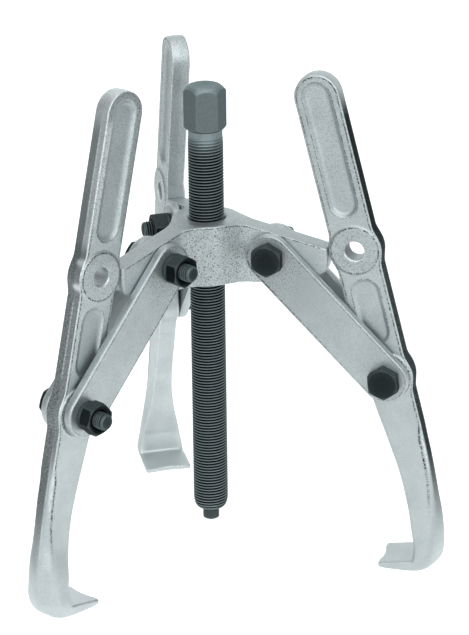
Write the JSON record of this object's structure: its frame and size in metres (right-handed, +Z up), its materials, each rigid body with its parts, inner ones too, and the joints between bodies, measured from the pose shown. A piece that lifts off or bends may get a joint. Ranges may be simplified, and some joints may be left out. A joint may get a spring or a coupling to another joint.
{
  "type": "gear puller",
  "caption": "Gear puller with a hex-headed forcing spindle in a star-shaped yoke, and hooked legs hung on pairs of swinging straps around it.",
  "frame": {"origin": "on the spindle axis, at the lower end of the thrust pin's cylinder", "axes": "+Z up along the spindle to its hexagon, +X along the first arm, with bolt heads on -Y of that arm"},
  "size_m": [0.2294, 0.2622, 0.3063],
  "materials": {
    "yoke_forging": "satin bright plating on a rough forging, with fine dark pits",
    "strap_plate": "satin bright plating on flat bar with rounded edges",
    "leg_forging": "satin bright plating on a forging, fine grain, rough flash line along its edges",
    "spindle_steel": "dark blackened steel, cut thread with lighter crests",
    "pin_steel": "dark hardened steel, satin",
    "fastener_black": "black oxide, slightly glossy, lighter along its edges"
  },
  "bodies": {
    "yoke": {"yoke": "yoke_forging", "yoke_bolt_1": "fastener_black", "yoke_nut_1": "fastener_black", "yoke_washer_1": "fastener_black", "yoke_bolt_2": "fastener_black", "yoke_nut_2": "fastener_black", "yoke_washer_2": "fastener_black", "yoke_bolt_3": "fastener_black", "yoke_nut_3": "fastener_black", "yoke_washer_3": "fastener_black"},
    "thrust_pin": {"thrust_pin": "pin_steel"},
    "spindle": {"spindle": "spindle_steel"},
    "link_1": {"strap_1_head_side": "strap_plate", "strap_1_nut_side": "strap_plate", "leg_bolt_1": "fastener_black", "leg_nut_1": "fastener_black", "leg_washer_1": "fastener_black"},
    "leg_1": {"leg_1": "leg_forging"},
    "link_2": {"strap_2_head_side": "strap_plate", "strap_2_nut_side": "strap_plate", "leg_bolt_2": "fastener_black", "leg_nut_2": "fastener_black", "leg_washer_2": "fastener_black"},
    "leg_2": {"leg_2": "leg_forging"},
    "link_3": {"strap_3_head_side": "strap_plate", "strap_3_nut_side": "strap_plate", "leg_bolt_3": "fastener_black", "leg_nut_3": "fastener_black", "leg_washer_3": "fastener_black"},
    "leg_3": {"leg_3": "leg_forging"}
  },
  "joints": [
    {"name": "pin_travel", "type": "slide", "parent": "yoke", "child": "thrust_pin", "axis": [0, 0, 1], "range_m": [-0.05099, 0.10904]},
    {"name": "spindle_turn", "type": "hinge", "parent": "thrust_pin", "child": "spindle", "pos_m": [0, 0, 0], "axis": [0, 0, 1], "range_deg": [-10080, 21600]},
    {"name": "link_1_swing", "type": "hinge", "parent": "yoke", "child": "link_1", "pos_m": [0.0405, 0, 0.1759], "axis": [0, -1, 0], "range_deg": [-25, 20]},
    {"name": "leg_1_swing", "type": "hinge", "parent": "link_1", "child": "leg_1", "pos_m": [0.11059, 0, 0.10458], "axis": [0, 1, 0], "range_deg": [0, 40]},
    {"name": "link_2_swing", "type": "hinge", "parent": "yoke", "child": "link_2", "pos_m": [-0.02025, 0.03507, 0.1759], "axis": [0.866, 0.5, 0], "range_deg": [-25, 20]},
    {"name": "leg_2_swing", "type": "hinge", "parent": "link_2", "child": "leg_2", "pos_m": [-0.05529, 0.09577, 0.10458], "axis": [-0.866, -0.5, 0], "range_deg": [0, 40]},
    {"name": "link_3_swing", "type": "hinge", "parent": "yoke", "child": "link_3", "pos_m": [-0.02025, -0.03507, 0.1759], "axis": [-0.866, 0.5, 0], "range_deg": [-25, 20]},
    {"name": "leg_3_swing", "type": "hinge", "parent": "link_3", "child": "leg_3", "pos_m": [-0.05529, -0.09577, 0.10458], "axis": [0.866, -0.5, 0], "range_deg": [0, 40]}
  ],
  "couplings": [
    {"joint": "pin_travel", "follows": "spindle_turn", "m_per_rad": 0.00028871}
  ]
}
